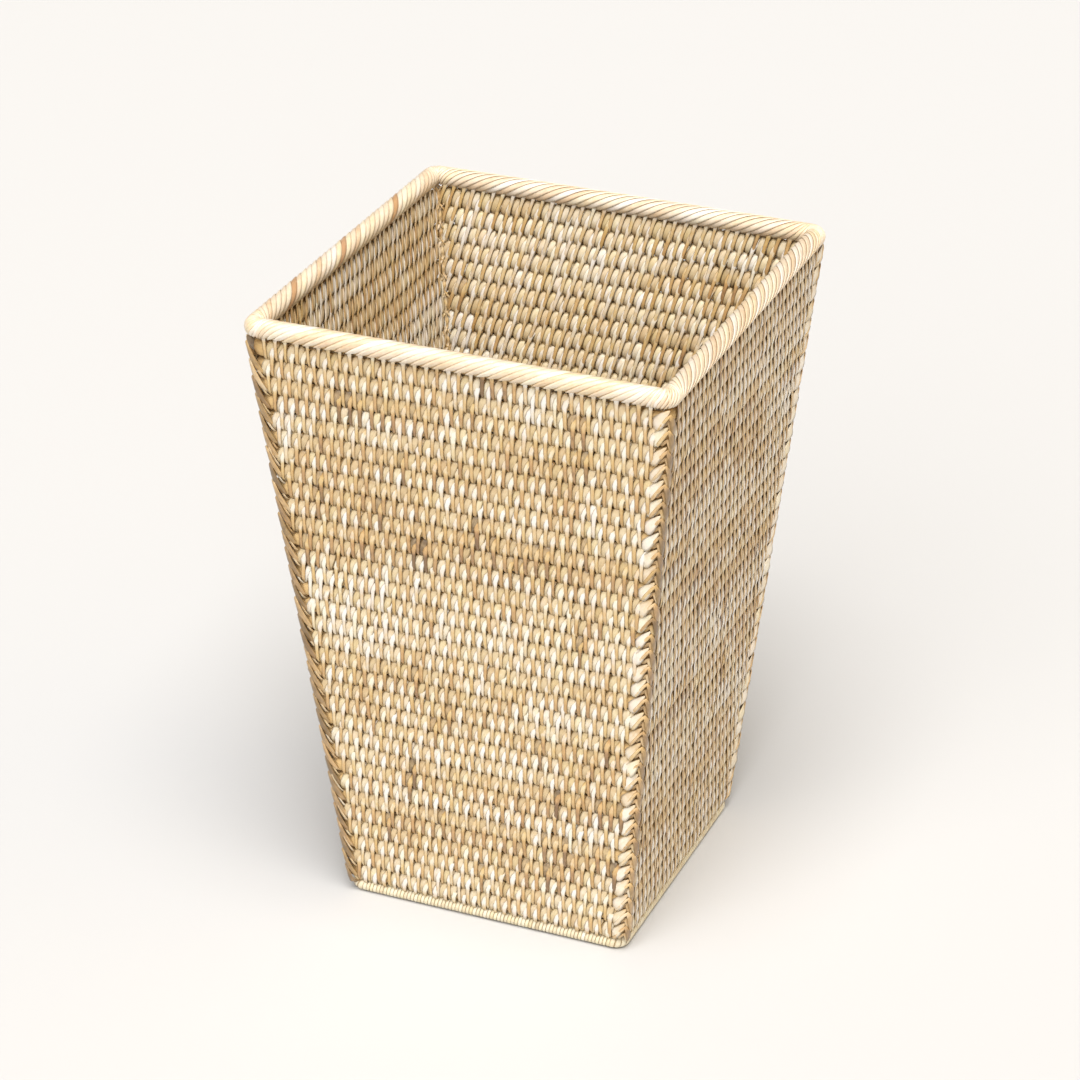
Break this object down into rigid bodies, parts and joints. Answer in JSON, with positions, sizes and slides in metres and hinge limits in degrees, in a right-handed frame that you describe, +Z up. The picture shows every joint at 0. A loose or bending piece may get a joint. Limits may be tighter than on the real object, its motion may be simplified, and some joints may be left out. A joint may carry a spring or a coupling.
{
  "type": "wastebasket",
  "caption": "Square tapered wastebasket of stitched rattan cores, with laced corners, a whipped rope rim and a bound foot ring, open at the top.",
  "frame": {"origin": "on the floor, at the middle of the foot ring", "axes": "+Z up through the open top, -Y towards the front side, +X towards the right side"},
  "size_m": [0.201, 0.201, 0.3],
  "materials": {
    "core": "bare rattan core, matt and fibrous",
    "stitching": "split rattan strips, clear satin, toned from cream to golden brown",
    "lacing": "split rattan strips, clear satin",
    "rim": "pale split rattan strips, clear satin",
    "foot": "pale split rattan strips, clear satin"
  },
  "bodies": {
    "root": {"back_stitching": "stitching", "base_core": "core", "base_stitching": "stitching", "corner_lacing_back_left": "lacing", "corner_lacing_back_right": "lacing", "corner_lacing_front_left": "lacing", "corner_lacing_front_right": "lacing", "foot_binding_back": "foot", "foot_binding_front": "foot", "foot_binding_left": "foot", "foot_binding_right": "foot", "foot_core": "core", "front_stitching": "stitching", "left_stitching": "stitching", "right_stitching": "stitching", "rim_binding_back": "rim", "rim_binding_front": "rim", "rim_binding_left": "rim", "rim_binding_right": "rim", "rim_core": "core", "wall_core_01": "core", "wall_core_02": "core", "wall_core_03": "core", "wall_core_04": "core", "wall_core_05": "core", "wall_core_06": "core", "wall_core_07": "core", "wall_core_08": "core", "wall_core_09": "core", "wall_core_10": "core", "wall_core_11": "core", "wall_core_12": "core", "wall_core_13": "core", "wall_core_14": "core", "wall_core_15": "core", "wall_core_16": "core", "wall_core_17": "core", "wall_core_18": "core", "wall_core_19": "core", "wall_core_20": "core", "wall_core_21": "core", "wall_core_22": "core", "wall_core_23": "core", "wall_core_24": "core", "wall_core_25": "core", "wall_core_26": "core", "wall_core_27": "core", "wall_core_28": "core", "wall_core_29": "core", "wall_core_30": "core", "wall_core_31": "core", "wall_core_32": "core", "wall_core_33": "core"}
  },
  "joints": []
}
